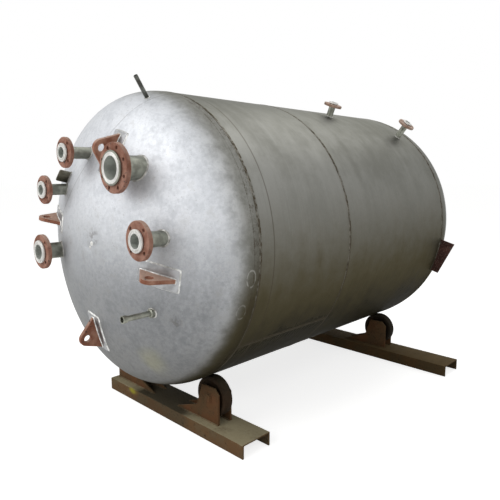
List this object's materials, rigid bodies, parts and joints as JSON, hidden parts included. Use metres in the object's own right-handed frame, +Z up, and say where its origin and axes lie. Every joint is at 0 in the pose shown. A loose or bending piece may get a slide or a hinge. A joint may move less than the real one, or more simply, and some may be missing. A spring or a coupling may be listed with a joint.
{
  "type": "horizontal chemical storage tank on turning rollers",
  "caption": "Horizontal stainless steel storage tank with dished ends, flanged nozzles and ear lugs, lying on roller stands",
  "frame": {"origin": "on the floor, below the middle of the whole part's box", "axes": "X to the near side, Y along the vessel away from the nozzles, Z up"},
  "size_m": [1.76, 2.8016, 1.8737],
  "materials": {
    "stainless_plate": "mill finish, satin",
    "stainless_pipe": "dull",
    "primed_steel": "matt red oxide primer",
    "stand_steel": "worn and rusted",
    "roller_iron": "worn and rusted"
  },
  "bodies": {
    "vessel_and_stands": {"cleat": "stainless_plate", "end_plate": "primed_steel", "front_beam": "stand_steel", "front_course": "stainless_plate", "front_far_bracket": "stand_steel", "front_far_pin": "stand_steel", "front_head": "stainless_plate", "front_near_bracket": "stand_steel", "front_near_pin": "stand_steel", "gauge_stub": "stainless_pipe", "lug_bottom": "primed_steel", "lug_bottom_pad": "stainless_plate", "lug_far": "primed_steel", "lug_far_pad": "stainless_plate", "lug_near": "primed_steel", "lug_near_pad": "stainless_plate", "lug_top": "primed_steel", "lug_top_pad": "stainless_plate", "nozzle_1_flange": "primed_steel", "nozzle_1_neck": "stainless_pipe", "nozzle_2_flange": "primed_steel", "nozzle_2_neck": "stainless_pipe", "nozzle_3_flange": "primed_steel", "nozzle_3_neck": "stainless_pipe", "nozzle_4_flange": "primed_steel", "nozzle_4_neck": "stainless_pipe", "nozzle_5_flange": "primed_steel", "nozzle_5_neck": "stainless_pipe", "rear_beam": "stand_steel", "rear_course": "stainless_plate", "rear_far_bracket": "stand_steel", "rear_far_pin": "stand_steel", "rear_head": "stainless_plate", "rear_near_bracket": "stand_steel", "rear_near_pin": "stand_steel", "top_nozzle_1_flange": "primed_steel", "top_nozzle_1_neck": "stainless_pipe", "top_nozzle_2_flange": "primed_steel", "top_nozzle_2_neck": "stainless_pipe", "vent_stub": "stainless_pipe"},
    "front_near_roller": {"front_near_roller": "roller_iron"},
    "front_far_roller": {"front_far_roller": "roller_iron"},
    "rear_near_roller": {"rear_near_roller": "roller_iron"},
    "rear_far_roller": {"rear_far_roller": "roller_iron"}
  },
  "joints": [
    {"name": "front_near_roller_spin", "type": "hinge", "parent": "vessel_and_stands", "child": "front_near_roller", "pos_m": [0.30471, -0.8245, 0.207], "axis": [0, 1, 0], "continuous": true},
    {"name": "front_far_roller_spin", "type": "hinge", "parent": "vessel_and_stands", "child": "front_far_roller", "pos_m": [-0.46471, -0.8245, 0.207], "axis": [0, 1, 0], "continuous": true},
    {"name": "rear_near_roller_spin", "type": "hinge", "parent": "vessel_and_stands", "child": "rear_near_roller", "pos_m": [0.30471, 0.8975, 0.207], "axis": [0, 1, 0], "continuous": true},
    {"name": "rear_far_roller_spin", "type": "hinge", "parent": "vessel_and_stands", "child": "rear_far_roller", "pos_m": [-0.46471, 0.8975, 0.207], "axis": [0, 1, 0], "continuous": true}
  ]
}
